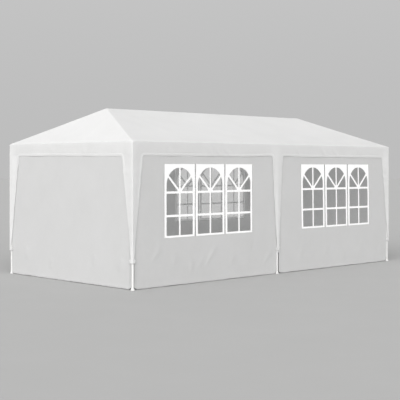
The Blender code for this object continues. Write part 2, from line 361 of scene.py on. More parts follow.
def film_material():
    """Clear soft plastic sheet: almost no colour, a wavy gloss."""
    k = Nodes("clear_sheet")
    obj = k.add("ShaderNodeTexCoord").outputs["Object"]
    haze = k.noise(obj, 9.0, 4.0, 0.6)
    wave = k.noise(obj, 5.0, 2.0, 0.4)
    normal = k.bump(wave, 0.006, 0.5)
    p = principled(k, k.tint(haze, (0.86, 0.88, 0.88), (0.92, 0.93, 0.93)), k.ramp(haze, 0.3, 0.7, 0.07, 0.14), normal, IOR=1.50)
    k.link(k.ramp(haze, 0.3, 0.7, 0.07, 0.12), p.inputs["Alpha"])
    k.link(p.outputs[0], k.out.inputs[0])
    return k.mat


def print_material():
    """Dense white ink with a fine speckle, through which a little daylight comes."""
    k = Nodes("white_print")
    obj = k.add("ShaderNodeTexCoord").outputs["Object"]
    speck = k.noise(obj, 420.0, 2.0, 0.5)
    cloud = k.noise(obj, 7.0, 3.0, 0.5)
    shade = k.math("ADD", k.math("MULTIPLY", speck, 0.4), k.math("MULTIPLY", cloud, 0.6))
    colour = k.tint(k.ramp(shade, 0.3, 0.7, 0, 1), (0.965, 0.965, 0.965), (0.99, 0.99, 0.99))
    normal = k.bump(speck, 0.0001, 0.4)
    p = principled(k, colour, k.ramp(cloud, 0.3, 0.7, 0.36, 0.46), normal)
    t = k.add("ShaderNodeBsdfTranslucent")
    k.link(colour, t.inputs["Color"])
    mix = k.add("ShaderNodeMixShader")
    mix.inputs[0].default_value = 0.12
    k.link(p.outputs[0], mix.inputs[1])
    k.link(t.outputs[0], mix.inputs[2])
    k.link(mix.outputs[0], k.out.inputs[0])
    return k.mat


def steel_material(name, albedo):
    """White powder coat: orange peel and a few duller, faintly yellowed patches."""
    k = Nodes(name)
    obj = k.add("ShaderNodeTexCoord").outputs["Object"]
    peel = k.noise(obj, 900.0, 2.0, 0.5)
    patch = k.noise(obj, 11.0, 5.0, 0.6)
    scuff = k.noise(obj, 60.0, 6.0, 0.7)
    mark = k.ramp(scuff, 0.62, 0.74, 0, 1)
    shade = k.math("SUBTRACT", patch, k.math("MULTIPLY", mark, 0.10))
    colour = k.tint(k.ramp(shade, 0.3, 0.7, 0, 1), (albedo * 0.955, albedo * 0.955, albedo * 0.94), (albedo, albedo, albedo * 0.995))
    rough = k.ramp(k.math("ADD", patch, k.math("MULTIPLY", mark, 0.5)), 0.3, 1.1, 0.44, 0.62)
    normal = k.bump(peel, 0.00006, 0.5)
    p = principled(k, colour, rough, normal, IOR=1.5)
    k.link(p.outputs[0], k.out.inputs[0])
    return k.mat


def webbing_material(name, albedo, rib=0.0014):
    """Ribbed polypropylene tape, its colour a little darker in the grooves between the ribs: painted shade."""
    k = Nodes(name)
    uv = k.add("ShaderNodeUVMap", uv_map="cloth").outputs[0]
    sep = k.add("ShaderNodeSeparateXYZ")
    k.link(uv, sep.inputs[0])
    obj = k.add("ShaderNodeTexCoord").outputs["Object"]
    ribs = k.math("SINE", k.math("MULTIPLY", sep.outputs[1], 2 * math.pi / rib))
    picks = k.math("SINE", k.math("MULTIPLY", sep.outputs[0], 2 * math.pi / 0.0022))
    height = k.math("MULTIPLY_ADD", k.math("ADD", ribs, k.math("MULTIPLY", picks, 0.5)), 0.33, 0.5)
    cloud = k.noise(obj, 25.0, 3.0, 0.6)
    # painted shade: the rib height that drives the bump also darkens the colour in the grooves
    shade = k.math("ADD", k.math("MULTIPLY", height, 0.4), k.math("MULTIPLY", cloud, 0.6))
    colour = k.tint(k.ramp(shade, 0.25, 0.75, 0, 1), (albedo * 0.9,) * 3, (albedo,) * 3)
    p = principled(k, colour, k.ramp(cloud, 0.3, 0.7, 0.62, 0.75), k.bump(height, 0.0003, 0.8))
    k.link(p.outputs[0], k.out.inputs[0])
    return k.mat


def zinc_material():
    """Bright zinc plate for screws and washers."""
    k = Nodes("zinc_plate")
    obj = k.add("ShaderNodeTexCoord").outputs["Object"]
    grain = k.noise(obj, 700.0, 3.0, 0.6)
    patch = k.noise(obj, 90.0, 3.0, 0.5)
    colour = k.tint(patch, (0.50, 0.51, 0.53), (0.66, 0.67, 0.68))
    p = principled(k, colour, k.ramp(grain, 0.3, 0.7, 0.28, 0.45), k.bump(grain, 0.00005, 0.5), Metallic=1.0)
    k.link(p.outputs[0], k.out.inputs[0])
    return k.mat


COVER = cloth_material("cover_cloth", 0.768, 0.50, 0.250)
HEM = cloth_material("cover_hem_cloth", 0.755, 0.50, 0.240)
WALL = cloth_material("wall_cloth", 0.626, 0.54, 0.238)
WALL_HEM = cloth_material("wall_hem_cloth", 0.619, 0.54, 0.235)
FILM = film_material()
PRINT = print_material()
STEEL = steel_material("white_powder_coat", 0.635)
WEB = webbing_material("white_webbing", 0.60)
ZINC = zinc_material()


def finish_piece(obj, mat):
    obj.data.materials.clear()
    obj.data.materials.append(mat)
    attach(obj, "root")
    return obj


# ------------------------------------------------------------- the one cover
RISE = RIDGE_Z - EAVE_Z
SLOPE_FRONT, SLOPE_END = math.atan2(RISE, HW), math.atan2(RISE, HL - RIDGE_X)


def unit(v):
    v = np.asarray(v, float)
    return v / np.linalg.norm(v)


NORMALS = {
    "front": np.array((0, -math.sin(SLOPE_FRONT), math.cos(SLOPE_FRONT))),
    "back": np.array((0, math.sin(SLOPE_FRONT), math.cos(SLOPE_FRONT))),
    "left": np.array((-math.sin(SLOPE_END), 0, math.cos(SLOPE_END))),
    "right": np.array((math.sin(SLOPE_END), 0, math.cos(SLOPE_END))),
}
CREASES = []  # ends, the way out along the bisector, tan of half the bend, width of the rounding


def crease(a, b, n1, n2, width):
    half = 0.5 * math.acos(float(np.clip(n1 @ n2, -1, 1)))
    CREASES.append((np.asarray(a, float), np.asarray(b, float), unit(n1 + n2), math.tan(half), width))


for sx in (-1, 1):
    for sy in (-1, 1):
        corner = (sx * HL, sy * HW, EAVE_Z)
        ns, ne = NORMALS["front" if sy < 0 else "back"], NORMALS["left" if sx < 0 else "right"]
        crease(corner, (sx * RIDGE_X, 0, RIDGE_Z), ns, ne, 0.020)
        crease(corner, (sx * HL, sy * HW, STRIP_END_Z), np.array((sx, 0, 0.0)), np.array((0, sy, 0.0)), 0.0034)
crease((-RIDGE_X, 0, RIDGE_Z), (RIDGE_X, 0, RIDGE_Z), NORMALS["front"], NORMALS["back"], 0.024)
for side, (U, N, half, dist) in SIDES.items():
    a, b = on_side(side, [-half, half], [EAVE_Z, EAVE_Z], [0, 0])
    crease(a, b, NORMALS[side], N, 0.0040)


def soften(P):
    """Rounds the sharp folds of the cover, as cloth goes round a tube."""
    total, most = np.zeros_like(P), np.zeros(len(P))
    for a, b, way, tan, width in CREASES:
        d = b - a
        t = np.clip(((P - a) @ d) / (d @ d), 0, 1)
        s = np.linalg.norm(P - (a + t[:, None] * d), axis=1)
        depth = tan * np.clip(width - s, 0, None) ** 2 / (2 * width)
        total -= depth[:, None] * way
        most = np.maximum(most, depth)
    size = np.linalg.norm(total, axis=1)
    limit = 1.25 * most
    over = size > np.maximum(limit, 1e-12)
    total[over] *= (limit[over] / size[over])[:, None]
    return P + total


roof_drift = {s: ripple(10 + k, 0.5, 1.6) for k, s in enumerate(SIDES)}


def roof_shape(x, y):
    """Height of the roof cloth over a point of the plan: four slopes that sag a little between the tubes."""
    ax, ay = np.abs(x), np.abs(y)
    zs = EAVE_Z + (HW - ay) * RISE / HW
    ze = EAVE_Z + (HL - ax) * RISE / (HL - RIDGE_X)
    long_side = zs <= ze
    z = np.minimum(zs, ze)
    t = np.where(long_side, (HW - ay) / HW, (HL - ax) / (HL - RIDGE_X))
    t = np.clip(t, 0, 1)
    s_long = np.clip(ax / (HL - (HL - RIDGE_X) * t), 0, 1)
    s_end = np.clip(0.5 + 0.5 * y / np.maximum(HW * (1 - t), 1e-6), 0, 1)
    bump = 4 * t * (1 - t) * np.where(long_side, 4 * s_long * (1 - s_long), 4 * s_end * (1 - s_end))
    sag = np.where(long_side, 0.016, 0.008) * bump
    wob = np.zeros_like(z)
    for side, pick in (
        ("front", long_side & (y < 0)), ("back", long_side & (y >= 0)),
        ("left", ~long_side & (x < 0)), ("right", ~long_side & (x >= 0)),
    ):
        wob[pick] = roof_drift[side](x[pick], y[pick])
    sag = sag - 0.0016 * wob * np.clip(bump * 3, 0, 1)
    # tension folds that run down from the ridge ends and the middle of the ridge
    for sx in (-1, 1):
        for sy in (-1, 1):
            e = np.clip(bump * 5, 0, 1)
            sag -= e * fold(x, y, (sx * 2.15, sy * 0.10), (sx * 1.75, sy * 1.40), 0.10, 0.0030)
            sag -= e * fold(x, y, (sx * 0.10, sy * 1.42), (sx * 0.95, sy * 0.50), 0.11, 0.0026)
            sag -= e * fold(x, y, (sx * 2.75, sy * 1.42), (sx * 1.95, sy * 0.95), 0.08, 0.0026)
    rest = 0.0035 * np.clip(4 * t * (1 - t), 0, 1)
    return z - sag - rest


def strip_edge(z, wide, narrow):
    """Half width of a strip, from its width at the hem to its width at the lower end."""
    t = np.clip((HEM_Z - z) / (HEM_Z - NECK_Z), 0, 1)
    return wide + (narrow - wide) * t


VALANCE_FOLDS = {
    "front": [
        ((-1.62, 2.035), (-1.44, 1.86), 0.030, 0.0042), ((-1.46, 2.035), (-1.28, 1.86), 0.026, 0.0046),
        ((-1.30, 2.035), (-1.05, 1.86), 0.030, 0.0036), ((1.05, 2.035), (1.22, 1.86), 0.032, 0.0042),
        ((1.32, 2.035), (1.55, 1.86), 0.030, 0.0036), ((2.05, 2.035), (1.93, 1.86), 0.035, 0.0034),
        ((0.42, 2.035), (0.55, 1.86), 0.040, 0.0030), ((-2.35, 2.035), (-2.30, 1.86), 0.050, 0.0024),
    ],
}
for k, side in enumerate(("right", "back", "left")):
    rng = np.random.default_rng(70 + k)
    half = SIDES[side][2]
    VALANCE_FOLDS[side] = []
    for _ in range(9 if half > 2 else 4):
        u = rng.uniform(-half + 0.35, half - 0.35)
        VALANCE_FOLDS[side].append(
            ((u, 2.035), (u + rng.uniform(-0.22, 0.22), 1.86), rng.uniform(0.026, 0.05), rng.uniform(0.0016, 0.0038))
        )
drape = {s: ripple(30 + k, 0.35, 1.3) for k, s in enumerate(SIDES)}
quiver = {s: ripple(40 + k, 0.09, 0.30) for k, s in enumerate(SIDES)}


def valance_out(side, u, z):
    """How far the hanging part of the cover stands outside its flat face."""
    _, _, half, _ = SIDES[side]
    down = np.clip((EAVE_Z - z) / (EAVE_Z - HEM_Z), 0, 1)
    free = smooth((half - np.abs(u)) / 0.22)
    if half > 2:
        free = free * smooth((np.abs(u) - 0.02) / 0.20)
    below = smooth((z - 1.60) / 0.20)
    out = down**1.3 * free * below * (0.0026 * drape[side](u, z) - 0.014)
    for a, b, w, h in VALANCE_FOLDS[side]:
        out = out + 1.25 * fold(u, z, a, b, w, h) * np.clip(down * 1.6, 0, 1) * free * below
    # the strips: their free edges lean in towards the wall, with a slight quiver
    strip = (1 - below) * smooth((z - 0.43) / 0.22)
    middle = np.abs(u) if half > 2 else np.full(np.shape(u), 9.0)
    lateral = np.minimum(half - np.abs(u), middle)
    edge = np.where(middle < half - np.abs(u), strip_edge(z, MID_STRIP, MID_STRIP_END), strip_edge(z, SIDE_STRIP if half > 2 else END_STRIP, SIDE_STRIP_END))
    e = np.clip(lateral / np.maximum(edge, 1e-3), 0, 1.2)
    sway = 0.0028 * quiver[side](u * 0.4 + 7.0, z) * e - 0.010 * e**1.5 * smooth(edge / 0.09)
    return out + strip * sway


LEG_XY = [(sx * (HL - FRAME_IN), sy * (HW - FRAME_IN)) for sx in (-1, 1) for sy in (-1, 1)] + [(0.0, -(HW - FRAME_IN)), (0.0, HW - FRAME_IN)]


def valance_points(side, u, z, lift=0.0):
    """Places points of the flat valance and strips in space. lift is the height above the cloth."""
    u, z = np.asarray(u, float), np.asarray(z, float)
    lift = np.broadcast_to(np.asarray(lift, float), u.shape)
    P = soften(on_side(side, u, z, np.zeros_like(u)))
    U, N, half, _ = SIDES[side]
    P = P + (valance_out(side, u, z))[:, None] * N
    # the hem hangs slack between the strips
    slack = smooth((half - np.abs(u)) / 0.25) * smooth((EAVE_Z - z) / 0.16) * smooth((z - 0.9) / 0.9)
    if half > 2:
        slack = slack * np.where(u < 0, 0.014, 0.010) * smooth((np.abs(u) - 0.10) / 0.6)
    else:
        slack = slack * (0.005 + 0.015 * smooth((u + 0.6) / 1.6))
    P[:, 2] -= slack
    # beside a corner fold the lift turns towards the corner, so that the two sides' hems meet
    corner = np.clip(1 - (half - np.abs(u)) / 0.006, 0, 1)
    out = N + (np.sign(u) * corner)[:, None] * U
    return P + lift[:, None] * out


def fillet(at, way, end_u):
    """The rounded inner corner between the hem and a strip's edge, from the hem to the strip."""
    p = np.array((at, HEM_Z))
    down = unit(np.array((end_u, NECK_Z)) - p)
    level = np.array((way, 0.0))
    pts = []
    for k in range(9):
        t = k / 8
        a = p + level * FILLET * (1 - t)
        b = p + down * FILLET * t
        pts.append(a * (1 - t) + b * t)
    return pts


def hem_path(side):
    """The free lower edge of a side, from its left corner to its right corner, in (u, z)."""
    half = SIDES[side][2]
    wide, narrow, cuff = (SIDE_STRIP, SIDE_STRIP_END, SIDE_CUFF) if half > 2 else (END_STRIP, END_STRIP_END, END_CUFF)

    def end(at, way, narrow, cuff):
        """From the neck of a strip round its cuff to the lower end."""
        return [np.array((at + way * n, z)) for n, z in ((narrow, NECK_Z), (cuff, CUFF_Z), (cuff, STRIP_END_Z))]

    path = [np.array((-half, STRIP_END_Z))] + end(-half, 1, narrow, cuff)[::-1]
    path += fillet(-half + wide, 1, -half + narrow)[::-1]
    if half > 2:
        path += fillet(-MID_STRIP, -1, -MID_STRIP_END) + end(0.0, -1, MID_STRIP_END, MID_CUFF)
        path += end(0.0, 1, MID_STRIP_END, MID_CUFF)[::-1] + fillet(MID_STRIP, 1, MID_STRIP_END)[::-1]
    path += fillet(half - wide, -1, half - narrow) + end(half, -1, narrow, cuff)
    path += [np.array((half, STRIP_END_Z))]
    return path


EDGE_STEP = 0.024
NEAR = (0.0018, 0.0040, 0.0078, 0.0140)  # rows of points beside a fold
canopy_parts = []

# roof, triangulated over the plan
corners = [(-HL, -HW), (HL, -HW), (HL, HW), (-HL, HW)]
outline = dense(corners, EDGE_STEP)
lines = [dense([(-RIDGE_X, 0), (RIDGE_X, 0)], EDGE_STEP, closed=False)]
segments = [((-RIDGE_X, 0), (RIDGE_X, 0))]
for sx in (-1, 1):
    for sy in (-1, 1):
        hip = dense([(sx * HL, sy * HW), (sx * RIDGE_X, 0)], EDGE_STEP, closed=False)
        lines.append(hip[1:-1])
        segments.append(((sx * HL, sy * HW), (sx * RIDGE_X, 0)))
extra = []
rim = list(zip(corners, corners[1:] + corners[:1]))


def rows_beside(a, b, ways, offsets, step, back=0.03):
    """Rows of points parallel to a fold, on one or both sides of it."""
    a, b = np.asarray(a, float), np.asarray(b, float)
    d = unit(b - a)
    n = np.array((-d[1], d[0]))
    found = []
    for way in ways:
        for k, o in enumerate(offsets):
            pts = dense([a + d * back, b - d * back], step, closed=False)
            if k % 2:
                pts = (pts[1:] + pts[:-1]) / 2
            found.append(pts + n * way * o)
    return np.concatenate(found)


for a, b in rim:
    extra.append(rows_beside(a, b, (1,), NEAR, EDGE_STEP))
for a, b in segments:
    scale = 0.9
    extra.append(rows_beside(a, b, (-1, 1), [o * scale for o in (0.005, 0.011, 0.018, 0.027)], EDGE_STEP))
extra = np.concatenate(extra)
ok = (np.abs(extra[:, 0]) < HL - 0.0015) & (np.abs(extra[:, 1]) < HW - 0.0015)
extra = extra[ok]
for a, b in segments + rim:  # rows of one fold don't run into another fold
    a, b = np.asarray(a, float), np.asarray(b, float)
    d = b - a
    t = np.clip(((extra - a) @ d) / (d @ d), 0, 1)
    gap = np.hypot(*(extra - (a + t[:, None] * d)).T)
    extra = extra[gap > 0.0016]
grid = hexes(-HL, HL, -HW, HW, 0.030)
grid = grid[(np.abs(grid[:, 0]) < HL - 0.03) & (np.abs(grid[:, 1]) < HW - 0.03)]
grid = grid[clear_of(segments, grid, 0.038)]
v, f = triangulate([outline], np.concatenate([extra, grid]), lambda c: np.ones(len(c), bool), lines)
P = np.stack([v[:, 0], v[:, 1], roof_shape(v[:, 0], v[:, 1])], 1)
canopy_parts.append((soften(P), f, v))

# the hanging sides
for side, (U, N, half, dist) in SIDES.items():
    hem = hem_path(side)
    path = dense(hem, EDGE_STEP, closed=False)
    top = on_top = dense([(half, EAVE_Z), (-half, EAVE_Z)], EDGE_STEP, closed=False)
    left = dense([(-half, EAVE_Z), (-half, STRIP_END_Z)], EDGE_STEP, closed=False)
    right = dense([(half, STRIP_END_Z), (half, EAVE_Z)], EDGE_STEP, closed=False)
    loop = np.concatenate([path, right[1:], top[1:], left[1:-1]])
    shape = list(hem) + [np.array((half, EAVE_Z)), np.array((-half, EAVE_Z))]
    extra = [rows_beside((-half, EAVE_Z), (half, EAVE_Z), (-1,), NEAR, EDGE_STEP)]
    extra.append(rows_beside((-half, STRIP_END_Z), (-half, EAVE_Z), (-1,), NEAR, EDGE_STEP, 0.012))
    extra.append(rows_beside((half, STRIP_END_Z), (half, EAVE_Z), (1,), NEAR, EDGE_STEP, 0.012))
    extra = np.concatenate(extra)
    grid = hexes(-half, half, STRIP_END_Z, EAVE_Z, 0.022)
    grid = grid[(np.abs(grid[:, 0]) < half - 0.026) & (grid[:, 1] < EAVE_Z - 0.026) & inside(shape, grid)]
    grid = grid[clear_of(list(zip(hem, hem[1:])), grid, 0.011)]
    v, f = triangulate([loop], np.concatenate([extra, grid]), lambda c, s=shape: inside(s, c))
    canopy_parts.append((valance_points(side, v[:, 0], v[:, 1]), f, v + np.array((0.0, 20.0))))

V, F, T = join_parts(canopy_parts)
canopy = new_mesh("canopy", V, F, T, weld=2e-4)
finish_piece(canopy, COVER)
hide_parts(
    *[f"roof_panel_{s}" for s in SIDES],
    *[f"valance_{s}" for s in SIDES],
)


# ------------------------------------------------------------------ the hems
def offset_path(path, closed):
    """Mitred inward steps of a path that has the cloth on its left."""
    p = np.asarray(path, float)
    nxt = np.roll(p, -1, axis=0) - p
    prv = p - np.roll(p, 1, axis=0)
    if not closed:
        nxt[-1], prv[0] = prv[-1], nxt[0]
    n1 = np.stack([-prv[:, 1], prv[:, 0]], 1) / np.linalg.norm(prv, axis=1)[:, None]
    n2 = np.stack([-nxt[:, 1], nxt[:, 0]], 1) / np.linalg.norm(nxt, axis=1)[:, None]
    m = n1 + n2
    m /= np.linalg.norm(m, axis=1)[:, None]
    return m / np.maximum((m * n2).sum(1), 0.35)[:, None]


def band(corners, width, place, closed=False, thick=0.0009, step=0.022):
    """A hem folded over an edge: a front and a back layer, joined round the edge. place maps (u, z, lift)."""
    p = np.asarray(corners, float)
    way = offset_path(p, closed)
    width = np.broadcast_to(np.asarray(width, float), (len(p),))
    order = list(range(len(p))) + ([0] if closed else [])
    legs = [(i, j, max(1, int(math.ceil(np.linalg.norm(p[j] - p[i]) / step)))) for i, j in zip(order, order[1:])]

    def run(q):
        pts = [q[i] + (q[j] - q[i]) * k / n for i, j, n in legs for k in range(n)]
        return np.array(pts if closed else pts + [q[-1]])

    edge = run(p)
    length = np.concatenate([[0], np.cumsum(np.linalg.norm(np.diff(edge, axis=0), axis=1))])
    section = [
        (1, 0, 0.0002), (1, -0.0012, thick), (0.5, 0, thick * 1.05), (0, 0.0022, thick * 1.15),
        (0, -0.0004, thick * 0.8), (0, -0.0012, 0.0), (0, -0.0004, -thick * 0.8), (0, 0.0022, -thick * 1.15),
        (0.5, 0, -thick * 1.05), (1, -0.0012, -thick), (1, 0, -0.0002),
    ]
    rows, uv, across = [], [], 0.0
    last = None
    for share, more, lift in section:
        inset = width * share + more
        q = run(p + way * inset[:, None])
        rows.append(place(q[:, 0], q[:, 1], lift))
        if last is not None:
            across += math.hypot(float(inset.max()) - last[0], lift - last[1])
        last = (float(inset.max()), lift)
        uv.append(np.stack([length, np.full(len(edge), across)], 1))
    n, m = len(edge), len(section)
    faces = []
    for r in range(m - 1):
        for i in range(n if closed else n - 1):
            j = (i + 1) % n
            faces.append((r * n + i, r * n + j, (r + 1) * n + j, (r + 1) * n + i))
    return np.concatenate(rows), [f[::-1] for f in faces], np.concatenate(uv)


def hem_widths(side, path):
    """Width of the hem at each corner of a side's free edge: narrower where the strips are."""
    half = SIDES[side][2]
    found = []
    for u, z in path:
        mid = abs(u) < 0.3 and half > 2
        room = strip_edge(z, MID_STRIP, MID_STRIP_END) if mid else strip_edge(z, SIDE_STRIP if half > 2 else END_STRIP, SIDE_STRIP_END)
        found.append(0.008 if z < NECK_Z + 0.001 else min(0.038, 0.84 * float(room)))
    return found


hem_parts = []
for side in SIDES:
    path = hem_path(side)
    hem_parts.append(band(path, hem_widths(side, path), lambda u, z, l, s=side: valance_points(s, u, z, l)))
V, F, T = join_parts(hem_parts)
canopy_hems = finish_piece(new_mesh("canopy_hems", V, F, T), HEM)

reach = 2 * (EAVE_Z - STRIP_END_Z)


# ----------------------------------------------------------------- the walls
def seeded_folds(seed, u0, u1, n):
    """Short soft folds that lean to the right near the lower hem."""
    rng = np.random.default_rng(seed)
    found = []
    for k in range(n):
        u, z = u0 + (u1 - u0) * (k + rng.uniform(0.2, 0.8)) / n, rng.uniform(0.16, 0.34)
        h = rng.uniform(0.10, 0.24)
        found.append(((u, z), (u + rng.uniform(0.02, 0.8) * h, z + h), rng.uniform(0.034, 0.060), rng.uniform(0.0016, 0.0032)))
    return found


WALL_FOLDS = {
    "front_left": [
        ((-2.63, 0.38), (-2.47, 0.54), 0.036, 0.0030), ((-2.22, 0.31), (-2.17, 0.44), 0.050, 0.0026),
        ((-1.88, 0.18), (-1.86, 0.33), 0.036, 0.0030), ((-1.57, 0.26), (-1.38, 0.51), 0.038, 0.0034),
        ((-1.74, 0.22), (-1.60, 0.40), 0.040, 0.0018), ((-1.05, 0.24), (-0.98, 0.36), 0.050, 0.0022),
        ((-0.59, 0.42), (-0.53, 0.57), 0.030, -0.0018), ((-0.32, 0.19), (-0.15, 0.38), 0.036, 0.0030),
    ],
    "front_right": [
        ((1.19, 0.22), (1.25, 0.36), 0.050, 0.0024), ((1.65, 0.10), (1.72, 0.24), 0.045, 0.0028),
        ((2.12, 0.18), (2.19, 0.32), 0.050, 0.0024), ((2.74, 0.14), (2.81, 0.28), 0.045, 0.0020),
        ((0.52, 0.20), (0.66, 0.42), 0.050, 0.0018),
    ],
}
WALL_FOLDS["back_right"] = seeded_folds(91, -2.8, -0.15, 7)
WALL_FOLDS["back_left"] = seeded_folds(92, 0.25, 2.75, 6)
WALL_FOLDS["left"] = [
    ((-1.05, 0.28), (-1.00, 0.42), 0.060, 0.0030), ((-0.42, 0.17), (-0.37, 0.30), 0.050, 0.0030),
    ((0.62, 0.29), (0.68, 0.42), 0.045, 0.0026), ((1.19, 0.25), (1.27, 0.40), 0.045, 0.0030),
]
WALL_FOLDS["right"] = seeded_folds(94, -1.3, 1.2, 4)
SIDE_OF = {"front_left": "front", "front_right": "front", "back_right": "back", "back_left": "back", "left": "left", "right": "right"}
# u runs to the right seen from outside, so the wall on the left from outside stands at -u
SPAN = {
    "front_left": (-2.948, -0.025, -1.483), "front_right": (0.047, 2.948, 1.511),
    "back_right": (-2.948, -0.025, -1.483), "back_left": (0.047, 2.948, 1.511),
    "left": (-1.448, 1.448, None), "right": (-1.448, 1.448, None),
}
wall_drift = {k: ripple(50 + i, 0.7, 2.4) for i, k in enumerate(SPAN)}
wall_quiver = {k: ripple(60 + i, 0.16, 0.5) for i, k in enumerate(SPAN)}
# heights of the ties at each wall's two edges, so that two walls never tie a leg at the same height
TIE_HEIGHTS = {}
for key in SPAN:
    for way in (1, -1):
        second = key in ("front_right", "back_left") and way == 1
        if SIDES[SIDE_OF[key]][2] < 2:
            TIE_HEIGHTS[key, way] = (0.374, 0.886, 1.376, 1.806)
        else:
            TIE_HEIGHTS[key, way] = (0.344, 0.796, 1.286, 1.716) if second else (0.399, 0.84, 1.33, 1.76)


def wall_out(key, u, z):
    """How far a wall stands outside its flat plane."""
    u0, u1, _ = SPAN[key]
    rim = np.minimum(u - u0, u1 - u)
    high = smooth((WALL_Z[1] - z) / 0.5)
    # nearly flat from leg to leg, close behind the cover
    out = smooth((rim - 0.004) / 0.09) * 0.0014 * high * wall_drift[key](u, z)
    out = out + 0.0009 * high * wall_quiver[key](u, z) * (0.35 + 0.65 * smooth((0.9 - z) / 0.7)) * smooth(rim / 0.05)
    for a, b, w, h in WALL_FOLDS[key]:
        out = out + 1.7 * fold(u, z, a, b, w, h) * (0.25 + 0.75 * smooth(rim / 0.12))
    # little puckers where the ties pull at the edges
    for edge, way in ((u0, 1), (u1, -1)):
        for zt in TIE_HEIGHTS[key, way]:
            for dz in (-0.12, 0.0, 0.13):
                out = out + 0.0009 * np.where(np.abs(z - zt) < 0.4, fold(u, z, (edge + way * 0.01, zt), (edge + way * 0.18, zt + dz), 0.022, 1.0), 0.0)
    return out


LEAN = {"front_left": (0.0, 0.010, 0.0055), "front_right": (0.018, 0.0, 0.0065), "back_right": (0.0, 0.0, 0.0), "back_left": (0.010, 0.0, 0.0)}


def wall_points(key, u, z, lift=0.0):
    u, z = np.asarray(u, float), np.asarray(z, float)
    if key in LEAN:
        lean, less, slide = LEAN[key]
        u0, u1, middle = SPAN[key]
        free = smooth((u - u0) / 0.40) * smooth((u1 - u) / 0.40) * smooth((z - 0.05) / 0.5) * smooth((1.98 - z) / 0.22)
        u = u - free * (lean * (z - 1.203) + less * (u - middle) + slide)
        if u0 > 0:
            # the lowest tie draws this edge towards the middle leg
            u = u - 0.010 * smooth((0.46 - z) / 0.10) * smooth((u0 + 0.16 - u) / 0.15)
    sway = 0.0022 * wall_quiver[key](u * 1.3 + 3.0, np.zeros_like(u)) * smooth((0.25 - z) / 0.25)
    # the lower corners lift over the flared feet
    u0, u1, _ = SPAN[key]
    half = SIDES[SIDE_OF[key]][2]
    legs = (-(half - FRAME_IN), half - FRAME_IN) + ((0.0,) if half > 2 else ())
    gap = np.min([np.abs(u - at) for at in legs], axis=0)
    sway = sway + 0.026 * smooth((0.075 - gap) / 0.045) * smooth((0.16 - z) / 0.15)
    return on_side(SIDE_OF[key], u, z + sway, -WALL_IN + wall_out(key, u, z) + lift)


UNIT_GAP = 0.022
LAP = 0.014
walls, wall_hems, films, prints = {}, {}, {}, {}


def clip(polygon, p, n):
    """The part of a convex polygon on the side of the line through p that n points to."""
    out = []
    q = [np.asarray(v, float) for v in polygon]
    for a, b in zip(q, q[1:] + q[:1]):
        da, db = (a - p) @ n, (b - p) @ n
        if da >= 0:
            out.append(a)
        if (da >= 0) != (db >= 0):
            out.append(a + (b - a) * da / (da - db))
    return out


def panes(u0, w):
    """The clear parts of one printed window whose left edge is at u0: two rows of panes and a fan of four under the arch."""
    mid = u0 + w / 2
    stile, half_bar = 0.0405, 0.0145
    left, right = u0 + stile, u0 + w - stile
    found = []
    for z0, z1 in ((0.7195 + DZ, 0.983 + DZ), (1.014 + DZ, 1.3145 + DZ)):
        found.append([(left, z0), (mid - half_bar, z0), (mid - half_bar, z1), (left, z1)])
        found.append([(mid + half_bar, z0), (right, z0), (right, z1), (mid + half_bar, z1)])
    spring, base = 1.427 + DZ, 1.3455 + DZ
    rx, rz = (right - left) / 2, 0.2565
    arch = [(left, base), (right, base)]
    arch += [(mid + rx * math.cos(a), spring + rz * math.sin(a)) for a in np.linspace(0, math.pi, 33)]
    hub = np.array((mid, base - 0.010))
    bars = (0.0, 45.0, 90.0, 135.0, 180.0)
    for a, b in zip(bars, bars[1:]):
        da = np.array((math.cos(math.radians(a)), math.sin(math.radians(a))))
        db = np.array((math.cos(math.radians(b)), math.sin(math.radians(b))))
        na, nb = np.array((-da[1], da[0])), np.array((db[1], -db[0]))
        ha = 0.0 if a == 0 else (half_bar if a == 90 else 0.0155)
        hb = 0.0 if b == 180 else (half_bar if b == 90 else 0.0155)
        piece = clip(arch, hub + na * ha, na)
        piece = clip(piece, hub + nb * hb, nb)
        m = unit(da + db)
        piece = clip(piece, hub + m * 0.050, m)
        found.append(piece)
    return found


def plate(v, f, place, front, back):
    """A thin closed plate over flat triangles (v, f): a front face, a back face and the rim between them."""
    edges = {}
    for t in f:
        for a, b in zip(t, (t[1], t[2], t[0])):
            edges[int(a), int(b)] = edges.get((int(a), int(b)), 0) + 1
    rim = [(a, b) for a, b in edges if (b, a) not in edges]
    n = len(v)
    P = np.concatenate([place(v[:, 0], v[:, 1], front), place(v[:, 0], v[:, 1], back)])
    faces = [tuple(t) for t in f] + [(t[2] + n, t[1] + n, t[0] + n) for t in f]
    faces += [(b, a, a + n, b + n) for a, b in rim]
    return P, faces, np.concatenate([v, v])


def print_parts(middle, place):
    """Three printed windows side by side on the clear sheet."""
    w = (HOLE_W - 0.016 - 2 * UNIT_GAP) / 3
    parts = []
    for k in range(3):
        u0 = middle - HOLE_W / 2 + 0.008 + k * (w + UNIT_GAP)
        box = [(u0, 0.691 + DZ), (u0 + w, 0.691 + DZ), (u0 + w, 1.7335 + DZ), (u0, 1.7335 + DZ)]
        holes = [np.array(dense(h, 0.030)) for h in panes(u0, w)]

        def keep(c, hs=holes, box=box):
            ok = inside(box, c)
            for h in hs:
                ok &= ~inside(h, c)
            return ok

        grid = hexes(u0, u0 + w, 1.33, 1.73, 0.028)
        grid = grid[inside(box, grid)]
        for h in holes:
            grid = grid[~inside(h, grid)]
            grid = grid[clear_of(list(zip(h, np.roll(h, -1, axis=0))), grid, 0.012)]
        grid = grid[clear_of(list(zip(box, box[1:] + box[:1])), grid, 0.012)]
        v, f = triangulate([dense(box, 0.030), *holes], grid, keep)
        parts.append(plate(v, f, place, 0.0003, -0.0003))
    return join_parts(parts)


